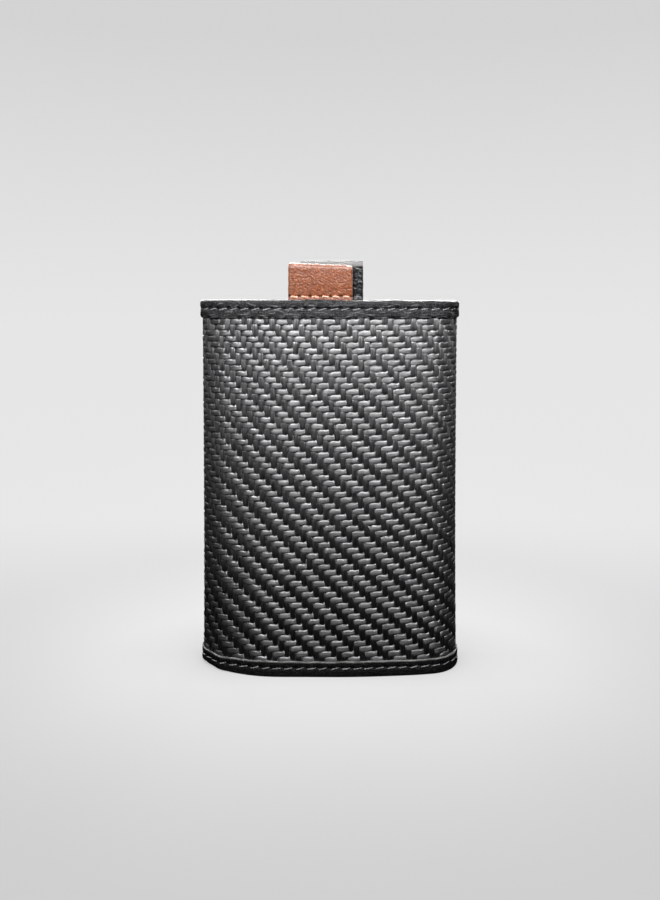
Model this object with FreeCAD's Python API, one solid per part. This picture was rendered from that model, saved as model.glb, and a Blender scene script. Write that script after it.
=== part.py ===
"""Card sleeve wallet: an oval woven sleeve with leather bindings and two pull-tab ribbons.

Millimetres, +Z up out of the mouth, width along X, depth along Y with the front at -Y.
The origin is at the middle of the resting face, under the foot.
"""

import FreeCAD
import Part
import math
import os

V = FreeCAD.Vector

# Sleeve: a four-centred oval, measured at the woven face.
HALF_WIDTH = 34.5
HALF_DEPTH = 12.0
SIDE_RADIUS = 9.0
HEIGHT = 97.5

# Wall layers, from the outside in.
SHELL_T = 0.6
BOARD_T = 0.5
FOIL_T = 0.1
LINING_T = 0.4
WALL_T = SHELL_T + BOARD_T + FOIL_T + LINING_T

# Leather bindings.
BINDING_T = 0.5
TOP_BAND_H = 4.7
TOP_EDGE_ROUND = 0.4
BOTTOM_BAND_H = 4.1
BOTTOM_EDGE_ROUND = 0.4
BOTTOM_LIP = 3.6
TOP_STITCH_BELOW_RIM = 2.4
BOTTOM_STITCH_Z = 2.3

# Sewing.
THREAD_R = 0.2
STITCH_L = 2.2
STITCH_PITCH = 3.0
THREAD_PROUD = 0.1

# Base panel.
BASE_T = 1.2
BASE_TOP = BINDING_T + BASE_T

# Divider between the two pockets.
DIVIDER_T = 0.8
HEM_T = 0.3
HEM_H = 4.0
DIVIDER_TOP = HEIGHT - TOP_BAND_H - HEM_T
TAPE_T = 0.4
TAPE_W = 6.0
DIVIDER_HALF_WIDTH = HALF_WIDTH - WALL_T - TAPE_T

# Strip over the shell's closing seam, up the middle of the back.
STRIP_W = 8.0
STRIP_STITCH_INSET = 1.4

# Ribbons: each runs down the wall, under its cards and up the divider to its tab.
RIBBON_W = 14.0
RIBBON_T = 0.4
RIBBON_BEND_R = 1.0
LOOP_GAP = 0.3
LOOP_LEG_TOP = 5.0
RIBBON_WALL_Y = 9.95
RIBBON_PULL_Y = 1.05
ANCHOR_W = 18.0
ANCHOR_H = 8.0
ANCHOR_TOP = 90.0
ANCHOR_T = 1.25
RIBBON_FIXED_TOP = 88.5

# Tabs: leather folded over the pull run's end.
TAB_W = 17.4
TAB_LEATHER_T = 0.8
TAB_T = 2 * TAB_LEATHER_T + RIBBON_T
TAB_BOTTOM = 94.5
TAB_STITCH_Z = 98.6
TAB_RIBBON_TOP = 104.0
TAB_STITCHES = 5

# Each side's ribbon: direction in Y, middle in X and height of the tab's fold.
SIDES = (
    {"name": "front", "sign": -1, "x": -2.4, "tab_top": 107.0},
    {"name": "rear", "sign": 1, "x": 0.5, "tab_top": 108.0},
)

FRONT_RADIUS = (
    (HALF_WIDTH - SIDE_RADIUS) ** 2 + HALF_DEPTH**2 - SIDE_RADIUS**2
) / (2 * (HALF_DEPTH - SIDE_RADIUS))
JOIN_ANGLE = math.atan2(HALF_WIDTH - SIDE_RADIUS, FRONT_RADIUS - HALF_DEPTH)


def oval_wire(offset, z):
    """The sleeve's outline moved outwards by offset: two flat arcs joined by two tight ones."""
    side_x = HALF_WIDTH - SIDE_RADIUS
    r = SIDE_RADIUS + offset
    tx = side_x + r * math.sin(JOIN_ANGLE)
    ty = r * math.cos(JOIN_ANGLE)
    w = HALF_WIDTH + offset
    d = HALF_DEPTH + offset
    arcs = [
        Part.Arc(V(-tx, -ty, z), V(0, -d, z), V(tx, -ty, z)),
        Part.Arc(V(tx, -ty, z), V(w, 0, z), V(tx, ty, z)),
        Part.Arc(V(tx, ty, z), V(0, d, z), V(-tx, ty, z)),
        Part.Arc(V(-tx, ty, z), V(-w, 0, z), V(-tx, -ty, z)),
    ]
    return Part.Wire([arc.toShape() for arc in arcs])


def oval(offset, z0, z1):
    """A solid oval block."""
    return Part.Face(oval_wire(offset, z0)).extrude(V(0, 0, z1 - z0))


def ring(outer, inner, z0, z1):
    """An oval tube between two offsets."""
    return oval(outer, z0, z1).cut(oval(inner, z0 - 1, z1 + 1))


def box(x0, x1, y0, y1, z0, z1):
    """A block between two corners."""
    return Part.makeBox(x1 - x0, y1 - y0, z1 - z0, V(x0, y0, z0))


def box_on_side(side, half_width, y_near, y_far, z0, z1):
    """A block centred on a side's ribbon, between two distances from the middle plane."""
    ys = sorted((side["sign"] * y_near, side["sign"] * y_far))
    return box(side["x"] - half_width, side["x"] + half_width, ys[0], ys[1], z0, z1)


def oval_place(s, offset):
    """The point at length s along the woven face's outline, moved out by offset, and its tangent.

    s runs from the middle of the front towards +X.
    """
    front_half = FRONT_RADIUS * JOIN_ANGLE
    side = SIDE_RADIUS * (math.pi - 2 * JOIN_ANGLE)
    half_turn = 2 * front_half + side
    turned = s % (2 * half_turn)
    back = turned >= half_turn
    if back:
        turned -= half_turn
    if turned < front_half:
        a = turned / FRONT_RADIUS
        centre = V(0, FRONT_RADIUS - HALF_DEPTH, 0)
        r = FRONT_RADIUS + offset
    elif turned < front_half + side:
        a = JOIN_ANGLE + (turned - front_half) / SIDE_RADIUS
        centre = V(HALF_WIDTH - SIDE_RADIUS, 0, 0)
        r = SIDE_RADIUS + offset
    else:
        a = math.pi - (half_turn - turned) / FRONT_RADIUS
        centre = V(0, HALF_DEPTH - FRONT_RADIUS, 0)
        r = FRONT_RADIUS + offset
    point = centre + V(math.sin(a), -math.cos(a), 0) * r
    tangent = V(math.cos(a), math.sin(a), 0)
    return (point * -1, tangent * -1) if back else (point, tangent)


def outline_length():
    """The length of the woven face's outline."""
    front = 4 * FRONT_RADIUS * JOIN_ANGLE
    sides = 2 * SIDE_RADIUS * (math.pi - 2 * JOIN_ANGLE)
    return front + sides


def stitch(middle, along):
    """One stitch: a short length of thread."""
    start = middle - along * (STITCH_L / 2)
    return Part.makeCylinder(THREAD_R, STITCH_L, start, along)


def stitches_round(offset, z):
    """Stitches all the way round the sleeve, evenly spaced."""
    count = 2 * round(outline_length() / STITCH_PITCH / 2)
    pitch = outline_length() / count
    places = [oval_place((i + 0.5) * pitch, offset) for i in range(count)]
    return [stitch(V(p.x, p.y, z), t) for p, t in places]


def stitch_row(start, along, pitch, count):
    """Stitches in a straight row that starts at the first stitch's middle."""
    return [stitch(start + along * (i * pitch), along) for i in range(count)]


def round_edges(shape, z, radius, wanted):
    """Round the edges that lie at height z and pass the test."""
    edges = [
        e
        for e in shape.Edges
        if abs(e.BoundBox.ZMin - z) < 1e-6 and abs(e.BoundBox.ZMax - z) < 1e-6 and wanted(e)
    ]
    return shape.makeFillet(radius, edges)


def is_outside(edge):
    """Whether an edge lies on the sleeve's outer side."""
    box_of = edge.BoundBox
    reach_x = max(abs(box_of.XMin), abs(box_of.XMax))
    reach_y = max(abs(box_of.YMin), abs(box_of.YMax))
    return reach_x > HALF_WIDTH or reach_y > HALF_DEPTH


def wall_layer(outer, inner):
    """One layer of the wall, from the bottom binding's floor to under the top binding's fold."""
    return ring(-outer, -inner, BINDING_T, HEIGHT - BINDING_T)


def outer_shell():
    return wall_layer(0, SHELL_T)


def stiffener_board():
    return wall_layer(SHELL_T, SHELL_T + BOARD_T)


def rfid_foil():
    return wall_layer(SHELL_T + BOARD_T, SHELL_T + BOARD_T + FOIL_T)


def lining():
    return wall_layer(SHELL_T + BOARD_T + FOIL_T, WALL_T)


def top_binding():
    """Leather folded over the wall's upper edge, with a leg down each face."""
    band = ring(BINDING_T, -WALL_T - BINDING_T, HEIGHT - TOP_BAND_H, HEIGHT)
    groove = ring(0, -WALL_T, HEIGHT - TOP_BAND_H - 1, HEIGHT - BINDING_T)
    return round_edges(band.cut(groove), HEIGHT, TOP_EDGE_ROUND, lambda e: True)


def bottom_binding():
    """Leather round the wall's foot, turned in under it to a lip that carries the base panel."""
    leg = ring(BINDING_T, 0, 0, BOTTOM_BAND_H)
    floor = ring(BINDING_T, -BOTTOM_LIP, 0, BINDING_T)
    folded = leg.fuse(floor).removeSplitter()
    return round_edges(folded, 0, BOTTOM_EDGE_ROUND, is_outside)


def base_panel():
    return oval(-WALL_T, BINDING_T, BASE_TOP)


def seam_strip():
    """A straight leather strip on the back, between the two bindings."""
    band = ring(BINDING_T, 0, BOTTOM_BAND_H, HEIGHT - TOP_BAND_H)
    half = STRIP_W / 2
    return band.common(box(-half, half, 0, HALF_DEPTH + 2, 0, HEIGHT))


def seam_strip_thread():
    """A row of stitches along each edge of the strip."""
    low = BOTTOM_BAND_H + STITCH_PITCH / 2
    span = HEIGHT - TOP_BAND_H - BOTTOM_BAND_H - STITCH_PITCH
    count = int(span / STITCH_PITCH) + 1
    x = STRIP_W / 2 - STRIP_STITCH_INSET
    place = oval_place(outline_length() / 2 - x, BINDING_T + THREAD_PROUD - THREAD_R)[0]
    rows = []
    for sign in (-1, 1):
        start = V(sign * x, place.y, low)
        rows += stitch_row(start, V(0, 0, 1), span / (count - 1), count)
    return rows


def top_binding_thread():
    """The row on the outer face and the row on the inner face of the rim."""
    z = HEIGHT - TOP_STITCH_BELOW_RIM
    outside = stitches_round(BINDING_T + THREAD_PROUD - THREAD_R, z)
    inside = stitches_round(-WALL_T - BINDING_T - THREAD_PROUD + THREAD_R, z)
    return outside + inside


def bottom_binding_thread():
    return stitches_round(BINDING_T + THREAD_PROUD - THREAD_R, BOTTOM_STITCH_Z)


def divider_panel():
    half = DIVIDER_T / 2
    return box(-DIVIDER_HALF_WIDTH, DIVIDER_HALF_WIDTH, -half, half, BASE_TOP, DIVIDER_TOP)


def divider_hem():
    """Tape folded over the divider's upper edge."""
    half = DIVIDER_T / 2
    top = DIVIDER_TOP + HEM_T
    width = DIVIDER_HALF_WIDTH
    fold = box(-width, width, -half - HEM_T, half + HEM_T, top - HEM_H, top)
    return fold.cut(divider_panel())


def divider_hem_thread():
    """A row on each face of the hem."""
    z = DIVIDER_TOP + HEM_T - HEM_H * 0.7
    count = int(2 * (DIVIDER_HALF_WIDTH - STITCH_PITCH) / STITCH_PITCH)
    y = DIVIDER_T / 2 + HEM_T + THREAD_PROUD - THREAD_R
    x = -(count - 1) * STITCH_PITCH / 2
    rows = []
    for sign in (-1, 1):
        rows += stitch_row(V(x, sign * y, z), V(1, 0, 0), STITCH_PITCH, count)
    return rows


def divider_tape(sign):
    """Tape up one side of the wall, which the divider is sewn to."""
    band = ring(-WALL_T, -WALL_T - TAPE_T, BASE_TOP, DIVIDER_TOP)
    xs = sorted((sign * (DIVIDER_HALF_WIDTH - 3), sign * HALF_WIDTH))
    half = TAPE_W / 2
    tape = band.common(box(xs[0], xs[1], -half, half, BASE_TOP, DIVIDER_TOP))
    return tape.cut(divider_panel())


def ribbon_fixed_run(side):
    """The ribbon's still end, flat against the wall from its anchor down to the loop."""
    return box_on_side(
        side,
        RIBBON_W / 2,
        RIBBON_WALL_Y - RIBBON_T,
        RIBBON_WALL_Y,
        LOOP_LEG_TOP,
        RIBBON_FIXED_TOP,
    )


def ribbon_loop(side):
    """The ribbon's middle, turned up at both ends, which the cards stand on."""
    low = BASE_TOP + LOOP_GAP
    half = RIBBON_W / 2
    outer = box_on_side(side, half, RIBBON_PULL_Y, RIBBON_WALL_Y, low, LOOP_LEG_TOP)
    outer = round_edges(outer, low, RIBBON_BEND_R + RIBBON_T, runs_along_x)
    inner = box_on_side(
        side,
        half,
        RIBBON_PULL_Y + RIBBON_T,
        RIBBON_WALL_Y - RIBBON_T,
        low + RIBBON_T,
        LOOP_LEG_TOP + 2,
    )
    inner = round_edges(inner, low + RIBBON_T, RIBBON_BEND_R, runs_along_x)
    return outer.cut(inner)


def runs_along_x(edge):
    """Whether an edge is parallel to X."""
    return edge.BoundBox.YLength < 1e-6


def ribbon_pull_run(side):
    """The ribbon's moving end, from the loop up the divider and into the tab."""
    return box_on_side(
        side,
        RIBBON_W / 2,
        RIBBON_PULL_Y,
        RIBBON_PULL_Y + RIBBON_T,
        LOOP_LEG_TOP,
        TAB_RIBBON_TOP,
    )


def anchor_patch(side):
    """A patch sewn to the wall over the ribbon's still end."""
    bottom = ANCHOR_TOP - ANCHOR_H
    band = ring(-WALL_T, -WALL_T - ANCHOR_T, bottom, ANCHOR_TOP)
    patch = band.common(box_on_side(side, ANCHOR_W / 2, 0, HALF_DEPTH, bottom, ANCHOR_TOP))
    return patch.cut(ribbon_fixed_run(side))


def anchor_thread(side):
    """Two rows of stitches across the patch."""
    place = side["sign"] * (HALF_DEPTH - WALL_T - ANCHOR_T - THREAD_PROUD + THREAD_R)
    count = int((ANCHOR_W - STITCH_PITCH) / STITCH_PITCH)
    x = side["x"] - (count - 1) * STITCH_PITCH / 2
    rows = []
    for z in (ANCHOR_TOP - ANCHOR_H * 0.2, ANCHOR_TOP - ANCHOR_H * 0.8):
        rows += stitch_row(V(x, place, z), V(1, 0, 0), STITCH_PITCH, count)
    return rows


def tab_middle_y():
    """The distance of a tab's mid-plane from the divider's."""
    return RIBBON_PULL_Y + RIBBON_T / 2


def tab_leather(side):
    """A leather strip folded in half over the ribbon's end, with a round fold on top."""
    near = tab_middle_y() - TAB_T / 2
    far = tab_middle_y() + TAB_T / 2
    block = box_on_side(side, TAB_W / 2, near, far, TAB_BOTTOM, side["tab_top"])
    block = round_edges(block, side["tab_top"], TAB_T / 2 - 0.05, runs_along_x)
    return block.cut(ribbon_pull_run(side))


def tab_thread(side):
    """A row of stitches across each face of the tab."""
    pitch = TAB_W / (TAB_STITCHES + 0.8)
    x = side["x"] - (TAB_STITCHES - 1) * pitch / 2
    rows = []
    for face in (-1, 1):
        y = side["sign"] * (tab_middle_y() + face * (TAB_T / 2 + THREAD_PROUD - THREAD_R))
        rows += stitch_row(V(x, y, TAB_STITCH_Z), V(1, 0, 0), pitch, TAB_STITCHES)
    return rows


def all_nodes():
    """Every node by name: one solid, or a list of separate solids."""
    nodes = {
        "outer_shell": outer_shell(),
        "stiffener_board": stiffener_board(),
        "rfid_foil": rfid_foil(),
        "lining": lining(),
        "top_binding": top_binding(),
        "top_binding_thread": top_binding_thread(),
        "bottom_binding": bottom_binding(),
        "bottom_binding_thread": bottom_binding_thread(),
        "base_panel": base_panel(),
        "seam_strip": seam_strip(),
        "seam_strip_thread": seam_strip_thread(),
        "divider_panel": divider_panel(),
        "divider_hem": divider_hem(),
        "divider_hem_thread": divider_hem_thread(),
        "divider_tape_left": divider_tape(-1),
        "divider_tape_right": divider_tape(1),
    }
    for side in SIDES:
        name = side["name"]
        nodes[name + "_anchor_patch"] = anchor_patch(side)
        nodes[name + "_anchor_thread"] = anchor_thread(side)
        nodes[name + "_ribbon_fixed_run"] = ribbon_fixed_run(side)
        nodes[name + "_ribbon_loop"] = ribbon_loop(side)
        nodes[name + "_ribbon_pull_run"] = ribbon_pull_run(side)
        nodes[name + "_tab_leather"] = tab_leather(side)
        nodes[name + "_tab_thread"] = tab_thread(side)
    return nodes


def main():
    os.makedirs("parts", exist_ok=True)
    for name, shape in all_nodes().items():
        if isinstance(shape, list):
            shape = Part.makeCompound(shape)
        shape.exportStep("parts/" + name + ".step")
        print(name, len(shape.Solids), round(shape.Volume, 2), shape.isValid())


main()
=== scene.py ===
import math

import bpy
import numpy as np
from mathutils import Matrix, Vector


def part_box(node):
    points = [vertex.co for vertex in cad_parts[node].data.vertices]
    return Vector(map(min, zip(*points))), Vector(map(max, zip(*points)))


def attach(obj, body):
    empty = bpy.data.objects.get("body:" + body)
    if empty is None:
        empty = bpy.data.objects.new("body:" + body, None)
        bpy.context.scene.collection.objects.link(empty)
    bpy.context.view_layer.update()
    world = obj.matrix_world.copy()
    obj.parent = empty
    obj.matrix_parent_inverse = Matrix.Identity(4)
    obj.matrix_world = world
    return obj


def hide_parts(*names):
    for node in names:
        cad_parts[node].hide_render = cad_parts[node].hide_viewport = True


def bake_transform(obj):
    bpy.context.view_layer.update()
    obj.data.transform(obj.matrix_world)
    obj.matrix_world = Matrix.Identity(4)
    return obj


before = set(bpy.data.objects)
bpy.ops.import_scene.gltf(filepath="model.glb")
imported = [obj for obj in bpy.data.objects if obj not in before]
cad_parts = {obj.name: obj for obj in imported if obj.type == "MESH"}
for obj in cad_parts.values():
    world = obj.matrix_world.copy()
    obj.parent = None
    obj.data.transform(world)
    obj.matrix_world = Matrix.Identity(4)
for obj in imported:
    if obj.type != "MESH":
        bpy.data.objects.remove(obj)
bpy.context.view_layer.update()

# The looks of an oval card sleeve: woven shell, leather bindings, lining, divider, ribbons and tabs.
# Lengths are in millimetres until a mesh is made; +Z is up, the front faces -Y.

rng = np.random.default_rng(11)

MM = 0.001
FULL_TURN = 2 * math.pi


def mm_box(node):
    """A CAD node's lowest and highest corner, in millimetres."""
    low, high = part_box(node)
    return np.array(low) / MM, np.array(high) / MM


def mm_middle(node):
    """The middle of a CAD node's box, in millimetres."""
    low, high = mm_box(node)
    return (low + high) / 2


# Sleeve, measured at the woven face.
HALF_WIDTH = 34.5
HALF_DEPTH = 12.0
SIDE_RADIUS = 9.0
WALL_T = 1.6
BINDING_T = 0.5
TOP_BAND_LOW, HEIGHT = (float(corner[2]) for corner in mm_box("top_binding"))
BOTTOM_BAND_TOP = float(mm_box("bottom_binding")[1][2])
TOP_STITCH_Z = float(mm_middle("top_binding_thread")[2])
BOTTOM_STITCH_Z = float(mm_middle("bottom_binding_thread")[2])
BASE_LOW, BASE_TOP = (float(corner[2]) for corner in mm_box("base_panel"))
FRONT_RADIUS = (
    (HALF_WIDTH - SIDE_RADIUS) ** 2 + HALF_DEPTH**2 - SIDE_RADIUS**2
) / (2 * (HALF_DEPTH - SIDE_RADIUS))
JOIN_ANGLE = math.atan2(HALF_WIDTH - SIDE_RADIUS, FRONT_RADIUS - HALF_DEPTH)
FRONT_HALF = FRONT_RADIUS * JOIN_ANGLE
SIDE_LENGTH = SIDE_RADIUS * (math.pi - 2 * JOIN_ANGLE)
OUTLINE = 2 * (2 * FRONT_HALF + SIDE_LENGTH)
STITCH_COUNT = 2 * round(OUTLINE / 3.0 / 2)
STITCH_PITCH = OUTLINE / STITCH_COUNT

# Weave: 2/2 twill of flat yarns.
COLUMNS = 104
COLUMN_PITCH = OUTLINE / COLUMNS
ROW_PITCH = 1.49
FIRST_COLUMN_S = 0.69
REFERENCE_ROW_Z = 90.3
ROW_RANGE = range(-2, 61)
WEAVE_MID = -0.25
WEAVE_LIFT = 0.14
WEFT_W, WEFT_T = 1.54, 0.38
WARP_W, WARP_T = 1.50, 0.30
CROSSING_DELAY = 0.16
WEFT_TILT = 0.025
BACKING_OFFSET = -0.56
BACKING_T = 0.06

# How far the sides of the sleeve pull in: it narrows a little to the foot, and more between the bindings.
FOOT_TAPER = 0.35
RIM_TAPER = 0.05
WAIST = 0.27


# --- camera, floor and light

# Places are in metres from here to the end of make_lights, but the sensor and lens in millimetres.
CAMERA_DISTANCE = 0.249
CAMERA_YAW = math.radians(1.1)
SENSOR = 36.0
LENS = 36.68
HORIZON_SHIFT = -1 / 6
SIDE_SHIFT = 0.0006


def add_object(name, data):
    made = bpy.data.objects.new(name, data)
    bpy.context.scene.collection.objects.link(made)
    return made


def make_camera():
    """A level camera at the height of the rim, its frame shifted down over the sleeve."""
    data = bpy.data.cameras.new("camera")
    data.sensor_width = SENSOR
    data.lens = LENS
    data.shift_y = HORIZON_SHIFT
    data.shift_x = SIDE_SHIFT
    data.clip_start = 0.01
    camera = add_object("camera", data)
    across, back = math.sin(CAMERA_YAW), math.cos(CAMERA_YAW)
    camera.location = (CAMERA_DISTANCE * across, -CAMERA_DISTANCE * back, HEIGHT * MM)
    camera.rotation_euler = (math.pi / 2, 0, CAMERA_YAW)
    bpy.context.scene.camera = camera


PAPER_DIM, PAPER_BRIGHT = 0.60, 0.785
POOL_GAIN = 1.3
WALL_TOP_SHARE = 0.83
SHADE_REACH = 0.03


def stage_paper():
    """Paper that glows by itself: dimmer in front of the object, but for a painted pool of light round it,
    and dimmer up the wall.

    A painted shadow darkens it where the object is near, more so behind the object than in front.
    """
    n = Nodes("stage_paper")
    place = n.place()
    _, y, z = n.axes(place)
    reach = n.maths("LENGTH", place, kind="ShaderNodeVectorMath", output="Value")
    behind = n.ramp(y, -0.08, 0.17, PAPER_DIM, PAPER_BRIGHT, soft=True)
    away = n.ramp(reach, 0.10, 0.24, PAPER_DIM, PAPER_BRIGHT, soft=True)
    # Painted pool of light round the object.
    pool = n.ramp(reach, 0.0, 0.12, POOL_GAIN, 1.0, soft=True)
    # Painted shade: the wall dims towards its top.
    fade = n.ramp(z, 0.05, 0.8, 1.0, WALL_TOP_SHARE)
    # Painted shadow: ambient occlusion darkens the glow near the object, more behind it than in front.
    nearness = n.node("ShaderNodeAmbientOcclusion", samples=5)
    nearness.inputs["Distance"].default_value = SHADE_REACH
    shade = n.ramp(nearness.outputs["AO"], 0.0, 1.0, n.ramp(y, -0.018, 0.004, 0.88, 0.4), 1.0)
    glow = n.maths("MULTIPLY", n.maths("MAXIMUM", behind, away), pool)
    glow = n.maths("MULTIPLY", n.maths("MULTIPLY", glow, fade), shade)
    n.put(n.shader.inputs["Emission Strength"], glow)
    n.put(n.shader.inputs["Emission Color"], grey(1))
    return n.finish(grey(0.02), 0.9, specular=0.0)


def make_stage():
    """A round pale floor that curves up into a wall on every side."""
    flat, bend, top, sides = 1.2, 1.0, 3.0, 96
    path = [(flat / 2, 0.0)]
    path += arc(flat, bend, bend, -90, 0, 17)
    path.append((flat + bend, top))
    angles = np.linspace(0, FULL_TURN, sides, endpoint=False)
    verts = [(r * math.cos(a), r * math.sin(a), z) for r, z in path for a in angles]
    faces = grid_faces(len(path), sides, False, True).tolist() + [list(range(sides))]
    mesh = bpy.data.meshes.new("stage")
    mesh.from_pydata(verts, [], faces)
    mesh.shade_smooth()
    mesh.materials.append(stage_paper())
    stage = add_object("stage", mesh)
    stage.visible_diffuse = False
    stage.visible_glossy = False
    stage.visible_shadow = False


KEY_RADIUS = 0.26
KEY_HEIGHT = 0.30
KEY_AIM = 0.14
KEY_SPREAD = 54
KEY_SIZE = (0.14, 0.08)
KEY_POWER = 0.085
# Each panel's turn from the middle one in degrees, and its share of the power.
KEY_PANELS = ((-22, 4.15), (0, 0.03), (21.5, 3.8))


def area_light(name, place, target, size, power, spread=180):
    data = bpy.data.lights.new(name, "AREA")
    data.shape = "RECTANGLE"
    data.size, data.size_y = size
    data.energy = power
    data.spread = math.radians(spread)
    light = add_object(name, data)
    light.location = place
    aim = Vector(target) - Vector(place)
    light.rotation_euler = aim.to_track_quat("-Z", "Y").to_euler()
    light.visible_camera = False


def make_world():
    """Dim soft light from all round, dimmer from below."""
    n = Nodes("studio", "worlds")
    background = n.tree.nodes["Background"]
    height = n.axes(n.node("ShaderNodeTexCoord").outputs["Generated"])[2]
    n.put(background.inputs["Strength"], n.ramp(height, -0.07, 0.35, 0.0, 0.27))
    n.put(background.inputs["Color"], rgb(0.98, 0.99, 1.0))
    bpy.context.scene.world = n.owner


def key_panels(name, facing):
    """Three soft panels in an arc, high and close, facing one side of the object."""
    for k, (turn, share) in enumerate(KEY_PANELS):
        angle = math.radians(facing + turn)
        place = (KEY_RADIUS * math.sin(angle), -KEY_RADIUS * math.cos(angle), KEY_HEIGHT)
        area_light(f"{name}_{k}", place, (0, 0, KEY_AIM), KEY_SIZE, KEY_POWER * share, KEY_SPREAD)


def make_lights():
    key_panels("front_key", 3)
    key_panels("back_key", 184)
    area_light("overhead", (0, 0, 0.9), (0, 0, 0), (0.6, 0.6), 0.205)
    make_world()
    bpy.context.scene.view_settings.view_transform = "Standard"


# --- node helpers for materials


class Nodes:
    """The node tree of a new material or world, with one short call for each kind of node."""

    def __init__(self, name, family="materials"):
        self.owner = getattr(bpy.data, family).new(name)
        self.owner.use_nodes = True
        self.tree = self.owner.node_tree
        self.shader = self.tree.nodes.get("Principled BSDF")

    def node(self, kind, **values):
        made = self.tree.nodes.new(kind)
        for key, value in values.items():
            setattr(made, key, value)
        return made

    def put(self, socket, value):
        """Link a socket, or set it to a plain value."""
        if isinstance(value, bpy.types.NodeSocket):
            self.tree.links.new(value, socket)
        else:
            socket.default_value = value

    def put_named(self, made, **values):
        """Put values on a node's sockets, whose names have _ for a space here."""
        for name, value in values.items():
            self.put(made.inputs[name.replace("_", " ")], value)
        return made

    def maths(self, operation, *values, kind="ShaderNodeMath", output=0):
        made = self.node(kind, operation=operation)
        for socket, value in zip(made.inputs, values):
            self.put(socket, value)
        return made.outputs[output]

    def axes(self, vector):
        made = self.node("ShaderNodeSeparateXYZ")
        self.put(made.inputs[0], vector)
        return made.outputs

    def attribute(self, name):
        return self.node("ShaderNodeAttribute", attribute_name=name).outputs

    def place(self):
        """The place on the object, in metres."""
        return self.node("ShaderNodeTexCoord").outputs["Object"]

    def place_mm(self):
        return self.scaled(self.place(), (1000, 1000, 1000))

    def scaled(self, vector, scale):
        return self.put_named(self.node("ShaderNodeMapping"), Vector=vector, Scale=scale).outputs[0]

    def noise(self, vector, scale, detail=3.0, roughness=0.55, output=0):
        made = self.node("ShaderNodeTexNoise")
        self.put_named(made, Vector=vector, Scale=scale, Detail=detail, Roughness=roughness)
        return made.outputs[output]

    def cells(self, vector, scale, feature="F1", smoothness=None):
        made = self.node("ShaderNodeTexVoronoi", feature=feature)
        self.put_named(made, Vector=vector, Scale=scale)
        if smoothness is not None:
            self.put_named(made, Smoothness=smoothness)
        return made.outputs["Distance"]

    def ramp(self, value, low, high, to_low=0.0, to_high=1.0, soft=False):
        made = self.node("ShaderNodeMapRange", interpolation_type="SMOOTHSTEP" if soft else "LINEAR")
        self.put_named(made, Value=value, From_Min=low, From_Max=high, To_Min=to_low, To_Max=to_high)
        return made.outputs[0]

    def mix(self, share, a, b):
        """Between two colours, whose sockets are numbers 6 and 7 of the node."""
        made = self.node("ShaderNodeMix", data_type="RGBA")
        for index, value in ((0, share), (6, a), (7, b)):
            self.put(made.inputs[index], value)
        return made.outputs[2]

    def bump(self, height, distance, strength=1.0):
        """distance is in metres."""
        made = self.node("ShaderNodeBump")
        return self.put_named(made, Height=height, Distance=distance, Strength=strength).outputs[0]

    def finish(self, colour, roughness, normal=None, specular=0.5, sheen=0.0, metallic=0.0):
        self.put_named(
            self.shader, Base_Color=colour, Roughness=roughness, Specular_IOR_Level=specular,
            Sheen_Weight=sheen, Metallic=metallic,
        )
        if normal is not None:
            self.put_named(self.shader, Normal=normal)
        return self.owner


def rgb(red, green, blue):
    return (red, green, blue, 1)


def grey(level, blue=None):
    """A grey, with its own blue where that is given."""
    return rgb(level, level, level if blue is None else blue)


# --- materials


def yarn_material(name, dark, light, roughness, metallic, anisotropy, foot, crown=None):
    """Flat yarn of fine parallel filaments, which spread its gloss across them.

    The yarn attribute holds along, across, yarn number; spread is the way across the filaments.
    foot is how far painted shade darkens the yarn towards the foot of the sleeve, and crown the colour of a
    painted highlight along the yarn's upper edge.
    """
    n = Nodes(name)
    yarn = n.attribute("yarn")["Vector"]
    filaments = n.noise(n.scaled(yarn, (0.35, 7.0, 3.7)), 1.0, 4.0, 0.6)
    patches = n.noise(n.scaled(yarn, (0.25, 0.5, 9.1)), 1.0, 2.0, 0.5)
    streak = n.ramp(filaments, 0.34, 0.66)
    share = n.maths("MULTIPLY_ADD", patches, 0.5, n.maths("MULTIPLY", streak, 0.6))
    colour = n.mix(n.ramp(share, 0.15, 0.85), dark, light)
    # Painted shade: the yarn darkens towards the foot of the sleeve, by the share foot.
    height = n.axes(n.place_mm())[2]
    colour = n.mix(n.ramp(height, 15, 105, foot, 0.0), colour, grey(0.004))
    # Painted highlight: the crown colour along the upper edge of each yarn, where light catches it.
    if crown:
        across = n.axes(yarn)[1]
        edge = n.ramp(n.maths("MULTIPLY_ADD", filaments, 0.4, across), 0.52, 0.76)
        colour = n.mix(n.maths("MULTIPLY", edge, n.ramp(patches, 0.35, 0.6, 0.35, 1.0)), colour, crown)
    rough = n.ramp(filaments, 0.3, 0.7, roughness - 0.07, roughness + 0.09)
    spread = n.attribute("spread")["Vector"]
    n.put_named(n.shader, Anisotropic=anisotropy, Tangent=spread)
    return n.finish(colour, rough, n.bump(filaments, 0.00004, 0.6), 0.8, metallic=metallic)


# Greys of raw fibres at cut edges, which also serve as a painted highlight on lit edges and crests.
RAW_FIBRES_AND_HIGHLIGHT = rgb(0.13, 0.128, 0.126), rgb(0.42, 0.41, 0.4)


def leather_relief(n, place, grain_mm):
    """Pebbles, pores, and the height of the whole grain."""
    shift = n.noise(place, 1.3, 2.0, 0.5, "Color")
    shifted = n.maths("MULTIPLY_ADD", shift, (0.7, 0.7, 0.7), place, kind="ShaderNodeVectorMath")
    pebbles = n.cells(shifted, 1 / grain_mm, "SMOOTH_F1", 0.35)
    creases = n.cells(shifted, 0.42 / grain_mm, "DISTANCE_TO_EDGE")
    pores = n.noise(place, 6.5 / grain_mm, 2.0, 0.6)
    height = n.maths("MULTIPLY_ADD", pebbles, -0.9, n.ramp(creases, 0.0, 0.09, -0.55, 0.0))
    return pebbles, pores, n.maths("MULTIPLY_ADD", pores, 0.35, height)


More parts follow.
